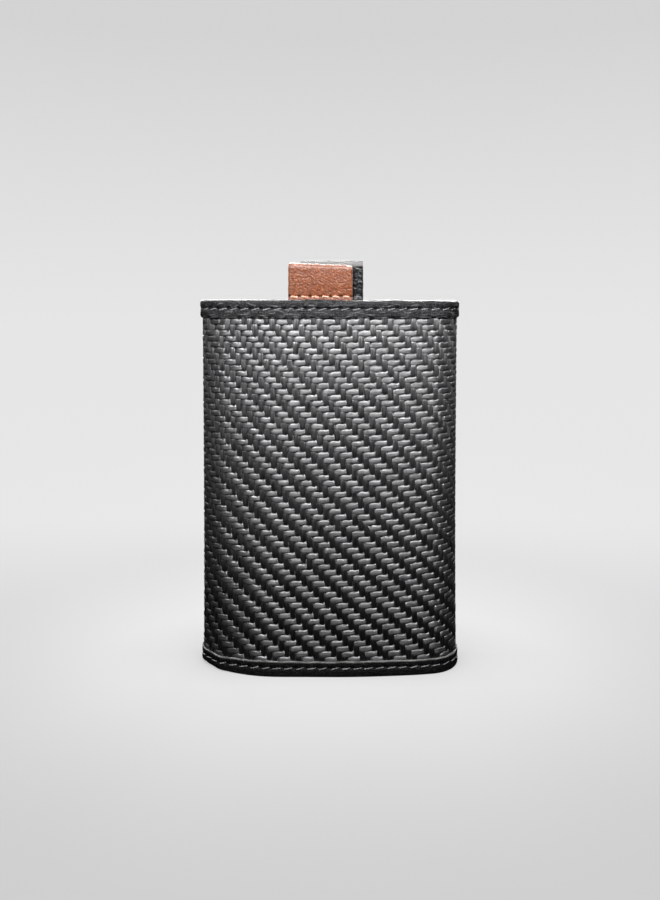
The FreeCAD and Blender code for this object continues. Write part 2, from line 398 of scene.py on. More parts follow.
def leather_material(name, deep, base, pale_wear_and_highlight, roughness, grain_mm, specular):
    """Pebbled leather, shaded by what its mesh says of it.

    raw marks a cut or rubbed edge, which shows the paler fibres inside, and also carries a painted
    highlight on lit edges and crests; ridge marks a rubbed wrinkle, which is also a painted highlight;
    crease marks painted shade in a fold of the grain, and hole a needle hole, painted near-black as its
    shade. Pebble tops take the worn colour, partly as painted glints.
    """
    n = Nodes(name)
    raw_edge_and_highlight, wrinkle_wear_and_highlight, painted_crease_shade, hole = (n.attribute(mark)["Fac"] for mark in ("raw_edge_and_highlight", "wrinkle_wear_and_highlight", "painted_crease_shade", "hole"))
    place = n.place_mm()
    wander = n.noise(place, 0.9, 3.0, 0.6)
    pebbles, pores, height = leather_relief(n, place, grain_mm)
    tone = n.ramp(n.maths("MULTIPLY_ADD", wander, 0.5, n.maths("MULTIPLY", pores, 0.3)), 0.25, 0.55)
    colour = n.mix(tone, deep, base)
    # Pebble tops and wrinkles take the paler colour: partly wear, partly painted glints and highlights.
    crown = n.maths("MULTIPLY", n.ramp(pebbles, 0.42, 0.1), n.ramp(wander, 0.4, 0.7))
    colour = n.mix(n.maths("MAXIMUM", crown, wrinkle_wear_and_highlight), colour, pale_wear_and_highlight)
    # Painted shade in the creases of the grain.
    colour = n.mix(painted_crease_shade, colour, rgb(*(0.3 * c for c in deep[:3])))
    # Paler fibres at cut and rubbed edges, and a painted highlight on lit edges and crests.
    colour = n.mix(raw_edge_and_highlight, colour, n.mix(n.noise(place, 3.0, 4.0, 0.7), *RAW_FIBRES_AND_HIGHLIGHT))
    # Painted shade in the needle holes.
    colour = n.mix(hole, colour, grey(0.001))
    rough = n.ramp(pores, 0.3, 0.7, roughness - 0.06, roughness + 0.1)
    rough = n.maths("MAXIMUM", rough, n.ramp(raw_edge_and_highlight, 0.0, 0.2, 0.0, 0.85))
    return n.finish(colour, rough, n.bump(height, 0.00009, 0.85), specular)


def cloth_material(name, dark, light, roughness, thread_mm):
    """Plain weave. The cloth attribute holds the place along and across the cloth in millimetres."""
    n = Nodes(name)
    along, across, _ = n.axes(n.attribute("cloth")["Vector"])
    turn = math.pi / thread_mm
    over = n.maths(
        "MULTIPLY",
        n.maths("SINE", n.maths("MULTIPLY", along, turn)),
        n.maths("SINE", n.maths("MULTIPLY", across, turn)),
    )
    fuzz = n.noise(n.place_mm(), 4.0, 3.0, 0.6)
    height = n.maths("MULTIPLY_ADD", fuzz, 0.8, n.maths("ABSOLUTE", over))
    share = n.maths("MULTIPLY_ADD", over, 0.3, fuzz)
    colour = n.mix(n.ramp(share, 0.2, 0.85), dark, light)
    rough = n.ramp(fuzz, 0.3, 0.7, roughness - 0.05, roughness + 0.08)
    return n.finish(colour, rough, n.bump(height, 0.00005, 0.7), 0.3, 0.02)


def thread_material(name, dark, light):
    """Waxed sewing thread."""
    n = Nodes(name)
    fibres = n.noise(n.place_mm(), 9.0, 3.0, 0.65)
    colour = n.mix(n.ramp(fibres, 0.3, 0.7), dark, light)
    rough = n.ramp(fibres, 0.3, 0.7, 0.42, 0.6)
    return n.finish(colour, rough, n.bump(fibres, 0.00003, 0.6), 0.4, 0.15)


def board_material(name, dark, light):
    """Pressed fibre board."""
    n = Nodes(name)
    fibres = n.noise(n.scaled(n.place_mm(), (1, 1, 0.3)), 2.5, 5.0, 0.7)
    colour = n.mix(n.ramp(fibres, 0.3, 0.7), dark, light)
    return n.finish(colour, n.ramp(fibres, 0.3, 0.7, 0.75, 0.9), n.bump(fibres, 0.00004), 0.2)


def foil_material(name):
    """Crumpled bright foil."""
    n = Nodes(name)
    place = n.place_mm()
    folds = n.cells(place, 0.35, "DISTANCE_TO_EDGE")
    stain = n.noise(place, 0.4, 3.0)
    colour = n.mix(n.ramp(stain, 0.3, 0.7), rgb(0.62, 0.63, 0.65), rgb(0.86, 0.87, 0.88))
    rough = n.ramp(stain, 0.3, 0.7, 0.22, 0.36)
    return n.finish(colour, rough, n.bump(folds, 0.0001), metallic=1.0)


LINING_COLOURS = grey(0.007, 0.0075), grey(0.032, 0.034)

MATERIALS = {
    # The weft's crown colour is a painted highlight; the warp's 0.7 is painted shade towards the foot.
    "weft": yarn_material(
        "weft_yarn", grey(0.034, 0.035), grey(0.108, 0.11), 0.45, 0.82, 0.81, 0.0, grey(0.23, 0.233)
    ),
    "warp": yarn_material("warp_yarn", grey(0.075, 0.077), grey(0.43, 0.435), 0.46, 0.99, 0.65, 0.7),
    "backing": cloth_material("shell_backing", grey(0.004), grey(0.012), 0.8, 0.4),
    "band": leather_material(
        "band_leather", grey(0.0022, 0.0026), grey(0.0085, 0.0092), grey(0.095, 0.098), 0.44, 0.42, 0.145
    ),
    # The band leather again, painted darker: painted shade at the foot, also used for the base and the
    # anchors.
    "foot": leather_material(
        "foot_leather_painted_shade", grey(0.0015), grey(0.005, 0.0054), grey(0.024, 0.025), 0.55, 0.42, 0.1
    ),
    "tan": leather_material(
        "tan_leather", rgb(0.058, 0.014, 0.004), rgb(0.110, 0.030, 0.0085), rgb(0.23, 0.088, 0.041),
        0.41, 0.8, 0.3,
    ),
    "black": leather_material(
        "black_leather", grey(0.002, 0.0024), grey(0.009, 0.0098), grey(0.075, 0.078), 0.22, 0.95, 0.27
    ),
    "lining": cloth_material("lining_cloth", *LINING_COLOURS, 0.75, 0.45),
    "divider": cloth_material("divider_cloth", *LINING_COLOURS, 0.75, 0.45),
    "tape": cloth_material("tape_cloth", grey(0.01, 0.011), grey(0.035, 0.037), 0.65, 0.3),
    "ribbon": cloth_material("ribbon_webbing", grey(0.006, 0.0065), grey(0.028, 0.03), 0.55, 0.35),
    "pale_thread": thread_material("pale_thread", grey(0.045, 0.047), grey(0.175, 0.18)),
    "grey_thread": thread_material("grey_thread", grey(0.06, 0.062), grey(0.21, 0.215)),
    "dark_thread": thread_material("dark_thread", grey(0.012, 0.013), grey(0.06, 0.063)),
    "tan_thread": thread_material("tan_thread", rgb(0.24, 0.10, 0.06), rgb(0.56, 0.30, 0.20)),
    "board": board_material("pressed_board", rgb(0.10, 0.09, 0.08), rgb(0.2, 0.18, 0.16)),
    "foil": foil_material("rfid_foil"),
}


# --- outline and mesh helpers


def stacked(*parts):
    """One array of vectors from their parts, each part spread over the shape of them all."""
    return np.stack(np.broadcast_arrays(*parts), axis=-1)


def bell(distance, width):
    """A smooth bump, 1 at distance 0."""
    return np.exp(-((distance / width) ** 2))


def ease(t):
    """Smooth step from 0 to 1."""
    t = np.clip(t, 0, 1)
    return t * t * (3 - 2 * t)


def round_trip(count):
    """Evenly spaced lengths all the way round the outline."""
    return np.linspace(0, OUTLINE, count, endpoint=False)


def outline_at(s, offset):
    """Points and outward normals at length s along the woven face, moved out by offset.

    s runs from the middle of the front towards +X. All arrays broadcast.
    """
    half_turn = OUTLINE / 2
    t = np.mod(s, OUTLINE)
    back = t >= half_turn
    t = np.where(back, t - half_turn, t)
    on_front = t < FRONT_HALF
    on_side = ~on_front & (t < FRONT_HALF + SIDE_LENGTH)
    side_angle = JOIN_ANGLE + (t - FRONT_HALF) / SIDE_RADIUS
    rear_angle = math.pi - (half_turn - t) / FRONT_RADIUS
    angle = np.where(on_front, t / FRONT_RADIUS, np.where(on_side, side_angle, rear_angle))
    centre_x = np.where(on_side, HALF_WIDTH - SIDE_RADIUS, 0.0)
    flat_y = np.where(on_front, 1.0, -1.0) * (FRONT_RADIUS - HALF_DEPTH)
    centre_y = np.where(on_side, 0.0, flat_y)
    radius = np.where(on_side, SIDE_RADIUS, FRONT_RADIUS)
    turn = np.where(back, -1.0, 1.0)
    normal_x, normal_y = np.sin(angle) * turn, -np.cos(angle) * turn
    x = centre_x * turn + normal_x * (radius + offset)
    y = centre_y * turn + normal_y * (radius + offset)
    return x, y, normal_x, normal_y


def waist_at(normal_x, z):
    """How far the wall lies inside its upright outline at height z: the sides pull in a little."""
    share = np.clip(z / HEIGHT, 0, 1)
    taper = FOOT_TAPER + (RIM_TAPER - FOOT_TAPER) * share
    return normal_x**2 * (taper + WAIST * np.sin(math.pi * share**0.8))


# Where the front wall stands out or in near the foot: length from its middle, amount, and reach.
FOOT_BULGES = ((-17.5, 1.1, 9.0), (-33.0, -0.8, 3.5), (26.0, 0.45, 8.0))
FOOT_BULGE_HEIGHT = 45.0


def foot_bulge(s, z):
    """How far the front wall stands out near the foot, where it is fuller than a true oval."""
    from_middle = np.mod(s + OUTLINE / 2, OUTLINE) - OUTLINE / 2
    bulge = sum(amount * bell(from_middle - place, reach) for place, amount, reach in FOOT_BULGES)
    return bulge * (1 - ease(z / FOOT_BULGE_HEIGHT))


def on_sleeve(s, z, offset):
    """Points on the sleeve's wall, at length s, height z and offset from the woven face."""
    normal_x = outline_at(s, 0.0)[2]
    x, y, _, _ = outline_at(s, offset - waist_at(normal_x, z) + foot_bulge(s, z))
    return stacked(x, y, z)


def wave(s, low, high, amount, length=OUTLINE):
    """A smooth random wave that closes on itself over length, of low to high cycles."""
    cycles = np.arange(low, high + 1)
    sizes = rng.normal(size=len(cycles)) / math.sqrt(len(cycles))
    phases = rng.uniform(0, FULL_TURN, len(cycles))
    s = np.asarray(s)[..., None]
    return amount * (sizes * np.cos(FULL_TURN * cycles * s / length + phases)).sum(-1)


def pebbles(u, v, size, period=None):
    """Height of a pebbled grain, 1 on a pebble and 0 in the creases, at places u, v in millimetres.

    period is the length after which u comes back to its start.
    """
    count_u = round(period / size) if period else 241
    count_v = 173
    u = u * (count_u / period if period else 1 / size)
    v = v / size
    jitter = rng.uniform(0.1, 0.9, (count_u, count_v, 2))
    cell_u, cell_v = np.floor(u).astype(int), np.floor(v).astype(int)
    nearest = np.full(np.broadcast(u, v).shape, 9.0)
    second = nearest.copy()
    for step_u in (-1, 0, 1):
        for step_v in (-1, 0, 1):
            at = jitter[(cell_u + step_u) % count_u, (cell_v + step_v) % count_v]
            distance = np.hypot(cell_u + step_u + at[..., 0] - u, cell_v + step_v + at[..., 1] - v)
            second = np.minimum(second, np.maximum(nearest, distance))
            nearest = np.minimum(nearest, distance)
    return ease((second - nearest) / 0.45)


def grid_faces(rows, columns, close_rows, close_columns):
    """Quads over a grid of points that may close on itself either way."""
    i = np.arange(rows if close_rows else rows - 1)
    j = np.arange(columns if close_columns else columns - 1)
    i, j = np.meshgrid(i, j, indexing="ij")
    i_next, j_next = (i + 1) % rows, (j + 1) % columns
    corners = [i * columns + j, i_next * columns + j, i_next * columns + j_next, i * columns + j_next]
    return np.stack(corners, axis=-1).reshape(-1, 4)


def outward(points, quads):
    """The quads turned so that a closed form encloses a positive volume."""
    a, b, c, d = (points[quads[:, k]] for k in range(4))
    volume = np.einsum("ij,ij->i", a, np.cross(b, c)) + np.einsum("ij,ij->i", a, np.cross(c, d))
    return quads if volume.sum() > 0 else quads[:, ::-1]


class Shape:
    """Points and faces gathered from several closed forms that make one piece."""

    def __init__(self):
        self.points, self.quads, self.caps, self.values = [], [], [], {}
        self.count = 0

    def add(self, points, quads, caps=(), **values):
        """points is (n, 3) in millimetres; values are per-point numbers or vectors, by name."""
        self.points.append(points)
        self.quads.append(outward(points, quads) + self.count)
        self.caps += [[c + self.count for c in cap] for cap in caps]
        for name, value in values.items():
            self.values.setdefault(name, []).append(value)
        self.count += len(points)

    def tube(self, points, close_path=False, **values):
        """points is (along, around, 3): a closed section carried along a path."""
        rows, columns, _ = points.shape
        quads = grid_faces(rows, columns, close_path, True)
        flat = points.reshape(-1, 3)
        caps = []
        if not close_path:
            first = list(range(columns))
            last = [(rows - 1) * columns + c for c in range(columns)]
            facing = np.array_equal(outward(flat, quads), quads)
            caps = [first, last[::-1]] if facing else [first[::-1], last]
        flat_values = {k: v.reshape(rows * columns, -1) for k, v in values.items()}
        self.add(flat, quads, caps, **flat_values)

    def build(self, name, material, slot, body="sleeve", replaces=()):
        """Make the mesh object, and say what it rides on and stands for."""
        points = np.concatenate(self.points) * MM
        faces = np.concatenate(self.quads).tolist() + self.caps
        mesh = bpy.data.meshes.new(name)
        mesh.from_pydata(points.tolist(), [], faces)
        for key, parts in self.values.items():
            data = np.concatenate(parts).astype(np.float32)
            kind, field = ("FLOAT_VECTOR", "vector") if data.shape[1] == 3 else ("FLOAT", "value")
            made = mesh.attributes.new(key, kind, "POINT")
            made.data.foreach_set(field, data.ravel())
        mesh.shade_smooth()
        mesh.materials.append(MATERIALS[material])
        obj = add_object(name, mesh)
        if body:
            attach(obj, body)
        if replaces:
            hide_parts(*replaces)
        return obj


def tube_piece(name, material, slot, node, points, close_path=True, **values):
    """A sleeve piece that is a single tube and stands for one CAD node, or for none."""
    shape = Shape()
    shape.tube(points, close_path, **values)
    shape.build(name, material, slot, replaces=(node,) if node else ())


def arc(centre_h, centre_z, radius, start, end, count):
    """Points of an arc in a section, angles in degrees from +h towards +z."""
    angles = np.radians(np.linspace(start, end, count))
    return [(centre_h + radius * math.cos(a), centre_z + radius * math.sin(a)) for a in angles]


def line(h0, z0, h1, z1, count):
    """Evenly spaced points between two corners, both left out."""
    shares = np.linspace(0, 1, count + 2)[1:-1]
    return [(h0 + (h1 - h0) * t, z0 + (z1 - z0) * t) for t in shares]


def across_path(section):
    """A section's coordinates, each as a row to spread over a path."""
    return (np.array(values)[None, :] for values in zip(*section))


# --- woven shell


def flat_top(angle):
    """A wave with broad flat floats and quick crossings, from -1 to 1."""
    swing = np.sin(angle)
    return np.sign(swing) * np.abs(swing) ** 0.42


# How the weave drifts from an even grid. The rows close up by the square of their height over or
# under each bow's middle; the columns shift near the foot, and sway twice on their way round.
ROW_DROP = 0.24
ROW_BOWS = ((4.4e-4, 71.7), (8e-5, 57.0))
FOOT_SHIFT, FOOT_SHIFT_UNDER, FOOT_SHIFT_OVER = 0.58, 52.0, 44.0
SWAY, SWAY_AT_TOP, SWAY_CHANGE, SWAY_UNDER, SWAY_OVER = 0.17, 0.75, -2.6, 88.0, 50.0


def weave_place(column, row):
    """Where a column and a row cross: length round the sleeve, and height."""
    even_z = REFERENCE_ROW_Z - row * ROW_PITCH
    z = even_z - ROW_DROP + sum(bow * (middle - even_z) ** 2 for bow, middle in ROW_BOWS)
    s = column * COLUMN_PITCH + FIRST_COLUMN_S + FOOT_SHIFT * ease((FOOT_SHIFT_UNDER - z) / FOOT_SHIFT_OVER)
    sway = SWAY_AT_TOP + SWAY_CHANGE * ease((SWAY_UNDER - z) / SWAY_OVER)
    return s + SWAY * sway * np.sin(2 * FULL_TURN * s / OUTLINE), z


# Yarn sections, in shares of the half width and half thickness. Wefts are fuller at their lower edge.
WARP_ACROSS = np.array([-1, -0.72, -0.28, 0.28, 0.72, 1, 0.55, -0.55])
WARP_THICK = np.array([-0.1, 0.6, 0.95, 0.95, 0.6, -0.1, -0.8, -0.8])
WEFT_ACROSS = np.array([-1, -0.88, -0.35, 0.3, 0.48, 0.95, 0.55, -0.55])
WEFT_THICK = np.array([-0.1, 0.86, 1.0, 0.93, 0.72, -0.2, -0.8, -0.8])
YARN_STEPS = 6

# Where along its four columns a weft's upper and lower edge flare: amount, place and reach.
UPPER_FLARES = ((0.05, 0.75, 0.4), (-0.12, 1.55, 0.25), (0.15, 2.05, 0.25), (-0.26, 0.05, 0.28))
LOWER_FLARES = ((0.05, 0.6, 0.5), (-0.13, 1.95, 0.4))


def flare(place, bumps):
    return sum(amount * bell(place - middle, reach) for amount, middle, reach in bumps)[:, None]


def weft_yarn(shape, row):
    """One crosswise yarn, all the way round, over two lengthwise yarns and under two."""
    x = np.arange(COLUMNS * YARN_STEPS) / YARN_STEPS
    s, middle = weave_place(x - 0.5, row)
    phase = x - row
    lift = flat_top(math.pi * (phase - CROSSING_DELAY) / 2)
    lift = np.where(lift < 0, 1.35 * lift, lift)
    place = np.mod(phase + 1, 4) - 1
    middle = middle + wave(s, 6, 40, 0.035)
    width = WEFT_W / 2 * (1 + wave(s, 10, 50, 0.05))
    height = WEAVE_MID + WEAVE_LIFT * lift + wave(s, 20, 52, 0.012)
    upper = WEFT_ACROSS > 0
    edge = np.where(upper, flare(place, UPPER_FLARES), flare(place, LOWER_FLARES)) * WEFT_ACROSS
    z = middle[:, None] + width[:, None] * WEFT_ACROSS + edge
    tilt = WEFT_TILT if row % 2 else -WEFT_TILT
    offset = height[:, None] + WEFT_T / 2 * WEFT_THICK - tilt * WEFT_ACROSS
    yarn = stacked(s[:, None], WEFT_ACROSS * WEFT_W / 2, row)
    shape.tube(on_sleeve(s[:, None], z, offset), True, yarn=yarn, spread=stacked(0, 0, 1 + 0 * z))


def warp_yarn(shape, column):
    """One lengthwise yarn, from inside the bottom binding to inside the top one."""
    rows = np.arange(ROW_RANGE[0], ROW_RANGE[-1] + 1, 1 / YARN_STEPS)
    s_middle, z = weave_place(column, rows)
    lift = -flat_top(math.pi * (column - rows + 0.5 - CROSSING_DELAY) / 2)
    s_middle = s_middle + wave(z, 4, 30, 0.035, HEIGHT)
    width = WARP_W / 2 * (1 + wave(z, 8, 30, 0.05, HEIGHT))
    height = WEAVE_MID + WEAVE_LIFT * lift + wave(z, 8, 30, 0.012, HEIGHT)
    s = s_middle[:, None] + width[:, None] * WARP_ACROSS
    points = on_sleeve(s, z[:, None], height[:, None] + WARP_T / 2 * WARP_THICK)
    yarn = stacked(z[:, None], WARP_ACROSS * WARP_W / 2, column + 300)
    normal_x, normal_y = outline_at(s, 0.0)[2:]
    shape.tube(points, yarn=yarn, spread=stacked(-normal_y, normal_x, 0))


def ring_wall(name, outer, inner, material, slot, node=None, high=HEIGHT - BINDING_T - 0.1):
    """A plain layer of the wall, which follows the waist."""
    steps = 40
    s = round_trip(480)[:, None]
    rise = np.linspace(BINDING_T, high, steps)
    z = np.concatenate([rise, rise[::-1]])
    points = on_sleeve(s, z, np.repeat([outer, inner], steps))
    tube_piece(name, material, slot, node, points, cloth=stacked(s, z, 0))


def make_shell():
    """The woven shell in pieces: four bands of weft rows and four runs of warp columns, on a backing."""
    for kind, yarn, numbers in (("weft", weft_yarn, ROW_RANGE), ("warp", warp_yarn, range(COLUMNS))):
        for part, members in enumerate(np.array_split(np.array(numbers), 4), 1):
            shape = Shape()
            for number in members:
                yarn(shape, int(number))
            stands_for = ("outer_shell",) if (kind, part) == ("weft", 1) else ()
            shape.build(f"shell_{kind}_{part}", kind, "woven_shell", replaces=stands_for)
    inner, high = BACKING_OFFSET - BACKING_T, HEIGHT - BINDING_T
    ring_wall("shell_backing", BACKING_OFFSET, inner, "backing", "woven_shell", high=high)


# --- leather bindings


def to_nearest(s, pitch):
    """How far s lies from the nearest whole number of pitches."""
    return np.mod(s + pitch / 2, pitch) - pitch / 2


def stitch_holes(s, from_row):
    """1 in the needle holes, which sit between stitches and are drawn out along the row."""
    to_hole = to_nearest(s, STITCH_PITCH)
    return bell(np.hypot(to_hole / 0.5, (from_row - 0.2 - 0.12 * to_hole) / 0.27), 1.0)


def sewn_push(s, from_row):
    """How far sewing pushes leather out: up beside the row, in along it, and deep in each hole."""
    return leather_swell(from_row) - 0.12 * bell(from_row, 0.3) - 0.42 * stitch_holes(s, from_row)


def leather_swell(from_row):
    """Leather stands up softly on both sides of a row of stitches."""
    return 0.05 * (1 - bell(from_row, 0.6))


BAND_STEPS = STITCH_COUNT * 20
GRAIN_DEPTH = 0.14
FOOT_BINDING_T = 0.34

# The foot is worn round at the front corner on the -X side.
WORN_TOE = 0.7
WORN_TOE_S = OUTLINE - FRONT_HALF - 6

# Level wrinkles of the top binding: height over its lower edge, and how far each one drifts.
TOP_WRINKLES = ((0.45, 0.16), (1.0, 0.2), (1.55, 0.2), (3.3, 0.3))


def top_binding_section():
    """Round the rim from the outer lower edge to the inner one, and back along the wall."""
    low, top = TOP_BAND_LOW, HEIGHT
    inner = -WALL_T - BINDING_T
    edge, crown, inner_crown = 0.16, 1.0, 0.8
    face = BINDING_T + 0.06
    section = arc(BINDING_T - edge, low + edge, edge, -90, 0, 4)
    section += line(BINDING_T, low + edge, face, top - crown, 30)
    section += arc(face - crown, top - crown, crown, 0, 90, 10)
    section += line(face - crown, top, inner + inner_crown, top, 4)
    section += arc(inner + inner_crown, top - inner_crown, inner_crown, 90, 180, 9)
    section += line(inner, top - inner_crown, inner, low + edge, 22)
    section += arc(inner + edge, low + edge, edge, 180, 270, 4)
    return section + [(-WALL_T, low), (-WALL_T, top - BINDING_T), (0, top - BINDING_T), (0, low)]


def make_top_binding():
    low, top = TOP_BAND_LOW, HEIGHT
    h, z = across_path(top_binding_section())
    s = round_trip(BAND_STEPS)[:, None]
    from_row = z - TOP_STITCH_Z
    on_leather = (h > 0.05) | (h < -WALL_T - 0.05) | (z > top - 0.45)
    side = np.where(h > -WALL_T / 2, 1.0, -1.0)
    crest = ease((top - 0.2 - z) / 0.5)
    push = sewn_push(s, from_row) - 0.22 * ease((low + 0.55 - z) / 0.55)
    push = push + wave(s, 5, 26, 0.03) * bell(z - low, 1.2) + wave(s, 8, 60, 0.018)
    grain = binding_grain(s, z + 0.8 * h)
    wrinkle_wear_and_highlight = wrinkles(s, z - low, TOP_WRINKLES)
    relief = GRAIN_DEPTH * (grain - 0.5) + 0.07 * wrinkle_wear_and_highlight
    offset = h + side * (push + relief) * crest * on_leather
    above = ease(from_row / 2)
    rise = wave(s, 6, 26, 0.09) * ease(from_row / (low - TOP_STITCH_Z)) + wave(s, 3, 18, 0.07) * above
    rise = rise - 0.13 * np.sin(FULL_TURN * s / OUTLINE) * above
    height = z + (rise + 0.5 * relief * (1 - crest)) * on_leather
    # The pale lower edge is partly raw fibres and partly a painted highlight where the edge catches the
    # light.
    fray_and_highlight = np.clip(0.3 + wave(s, 20, 90, 0.4), 0, 1)
    # Wrinkles are painted paler, partly rubbed and partly a painted highlight; grain creases and needle
    # holes get painted shade.
    marks = {
        "raw_edge_and_highlight": fray_and_highlight * bell(z - low - 0.1, 0.13) * (h > 0.05),
        "hole": stitch_holes(s, from_row) * on_leather * (z < top - 1),
        "wrinkle_wear_and_highlight": np.clip(wrinkle_wear_and_highlight, 0, 1),
        "painted_crease_shade": crease_marks(grain) * on_leather,
    }
    points = on_sleeve(s, height, offset)
    tube_piece("top_binding_leather", "band", "band_leather", "top_binding", points, **marks)


def binding_grain(s, z):
    """Pebbles drawn out along the binding, from 0 to 1."""
    stretch = 1.5
    fine, coarse = (pebbles(s / stretch, z, size, OUTLINE / stretch) for size in (0.36, 0.62))
    return 0.5 * fine + 0.5 * coarse


def crease_marks(grain):
    """How deep in a fold of the grain each point lies, from 0 to 1: the share of painted shade there."""
    return 0.85 * ease((0.62 - grain) / 0.5)


def wrinkles(s, z, lines):
    """Level wrinkles that come and go along a binding. lines holds heights and how far they drift."""
    total = 0
    for height, drift in lines:
        fade = np.clip(0.1 + wave(s, 8, 50, 0.75), 0, 1)
        total = total + fade * bell(z - height - wave(s, 5, 34, drift), 0.11)
    return total


def bottom_binding_section():
    """Round the foot from under its outer edge up the wall, and back under the base."""
    top, out = BOTTOM_BAND_TOP, FOOT_BINDING_T
    toe, edge = 0.5, 0.06
    lip, inside = -3.6, -0.3
    section = arc(out - toe, toe, toe, -90, 0, 8)
    section += line(out, toe, out, top - edge, 24)
    section += arc(out - edge, top - edge, edge, 0, 90, 3)
    section += line(out - edge, top, inside, top, 4)
    section += [(inside, top - 0.3), (inside, BINDING_T), (lip, BINDING_T), (lip - 0.12, BINDING_T / 2)]
    return section + [(lip, 0.0)] + line(lip, 0, out - toe, 0, 6)


def make_bottom_binding():
    top = BOTTOM_BAND_TOP
    h, z = across_path(bottom_binding_section())
    s = round_trip(BAND_STEPS)[:, None]
    from_row = z - BOTTOM_STITCH_Z
    on_leg = (h > 0.1) * ease((z - 0.25) / 0.5)
    push = sewn_push(s, from_row) + wave(s, 8, 60, 0.018)
    push = push + wave(s, 6, 30, 0.03) * bell(z - top, 1.0)
    grain = binding_grain(s, z)
    push = push + GRAIN_DEPTH * (grain - 0.5) * ease((top - z) / 0.4)
    offset = h + push * on_leg
    height = z + wave(s, 6, 30, 0.05) * ease(from_row / (top - BOTTOM_STITCH_Z))
    height = height + WORN_TOE * bell(s - WORN_TOE_S, 7) * ease((1.8 - z) / 1.8) * (h > -0.5)
    # The top ledge is painted paler: raw fibres and a painted highlight where it catches the light. Grain
    # creases and needle holes get painted shade.
    marks = {
        "raw_edge_and_highlight": np.clip((0.5 + wave(s, 9, 50, 0.12)) * ease((z - top + 0.4) / 0.25) * (h > -0.2), 0, 1),
        "hole": stitch_holes(s, from_row) * on_leg,
        "painted_crease_shade": crease_marks(grain) * on_leg * (z < top - 0.3),
    }
    points = on_sleeve(s, height, offset)
    tube_piece("bottom_binding_leather", "foot", "band_leather", "bottom_binding", points, **marks)


# --- stitches

STITCH_LENGTH = 2.35
STITCH_SLANT = 0.2
PLY_R = 0.1
PLY_OFFSET = 0.06
PLY_STEPS = 15
PLY_SIDES = 7
PLY_TWIST = 1.5 * math.pi
STITCH_DIVE = 0.28
PLACE_DRIFT = 0.05
SLANT_DRIFT = 0.3
SEAT = 0.12  # how deep the middle of a thread lies in the leather


def add_stitch(shape, place, length=STITCH_LENGTH, slant=STITCH_SLANT, size=1.0, proud=0.13):
    """One stitch of two twisted plies. place(along, out, across) gives points from the middle."""
    t = np.linspace(-1, 1, PLY_STEPS)
    along = t * length / 2
    out = proud * (1 - np.abs(t) ** 3) - STITCH_DIVE * np.abs(t) ** 5
    turn_by = rng.uniform(0, math.pi)
    around = np.linspace(0, FULL_TURN, PLY_SIDES, endpoint=False)
    for ply in (0, math.pi):
        twist = turn_by + ply + t * PLY_TWIST
        middle_out = out + PLY_OFFSET * size * np.sin(twist)
        middle_across = slant * along + PLY_OFFSET * size * np.cos(twist)
        ring_out = middle_out[:, None] + PLY_R * size * np.sin(around)
        ring_across = middle_across[:, None] + PLY_R * size * np.cos(around)
        shape.tube(place(along[:, None], ring_out, ring_across))


def sleeve_stitches(shape, z, offset, side=1):
    """A row of stitches all the way round. side is 1 on the outer face and -1 on the inner."""
    for k in range(STITCH_COUNT):
        middle = (k + 0.5) * STITCH_PITCH + rng.normal() * PLACE_DRIFT
        slant = STITCH_SLANT * (1 + rng.normal() * SLANT_DRIFT)

        def place(along, out, across, middle=middle):
            return on_sleeve(middle + along, z + across, offset + side * out)

        add_stitch(shape, place, slant=slant * side)


def straight_stitches(shape, start, along_axis, out_axis, pitch, count, **options):
    """A straight row from the first stitch's middle."""
    axes = np.array([along_axis, out_axis, np.cross(out_axis, along_axis)], float)
    for k in range(count):
        middle = np.array(start, float) + axes[0] * (k * pitch + rng.normal() * 0.04)

        def place(along, out, across, middle=middle):
            return middle + stacked(along, out, across) @ axes

        add_stitch(shape, place, **options)


def make_binding_threads():
    rows = Shape()
    sleeve_stitches(rows, TOP_STITCH_Z, BINDING_T - SEAT)
    sleeve_stitches(rows, TOP_STITCH_Z, -WALL_T - BINDING_T + SEAT, -1)
    rows.build("top_binding_stitches", "pale_thread", "band_thread", replaces=("top_binding_thread",))
    row = Shape()
    sleeve_stitches(row, BOTTOM_STITCH_Z, FOOT_BINDING_T - SEAT)
    row.build(
        "bottom_binding_stitches", "grey_thread", "band_thread", replaces=("bottom_binding_thread",)
    )


# --- base, lining and back seam


def make_base():
    """The base panel: a flat oval plate with eased edges."""
    rim = 0.25
    inward = np.linspace(1, 0.04, 25)
    section = [(-WALL_T - rim, BASE_LOW, share) for share in inward[::-1]]
    section += [(-WALL_T, BASE_LOW + rim, 1), (-WALL_T, BASE_TOP - rim, 1)]
    section += [(-WALL_T - rim, BASE_TOP, share) for share in inward]
    h, z, share = (np.array(values)[:, None] for values in zip(*section))
    points = on_sleeve(round_trip(360), z, h)
    points[..., :2] *= share[..., None]
    tube_piece("base_panel_leather", "foot", "base_leather", "base_panel", points, False)


def make_lining():
    ring_wall("lining_cloth", -WALL_T + 0.3, -WALL_T, "lining", "lining_fabric", "lining")


# Outer and inner face of the board and of the foil, out from the woven face.
BOARD_FACES = (-0.64, -1.08)
FOIL_FACES = (-1.1, -1.2)


def make_inner_layers():
    """The board and the foil, between the shell and the lining."""
    ring_wall("stiffener_ring", *BOARD_FACES, "board", "board", "stiffener_board")
    ring_wall("rfid_foil_ring", *FOIL_FACES, "foil", "foil", "rfid_foil")


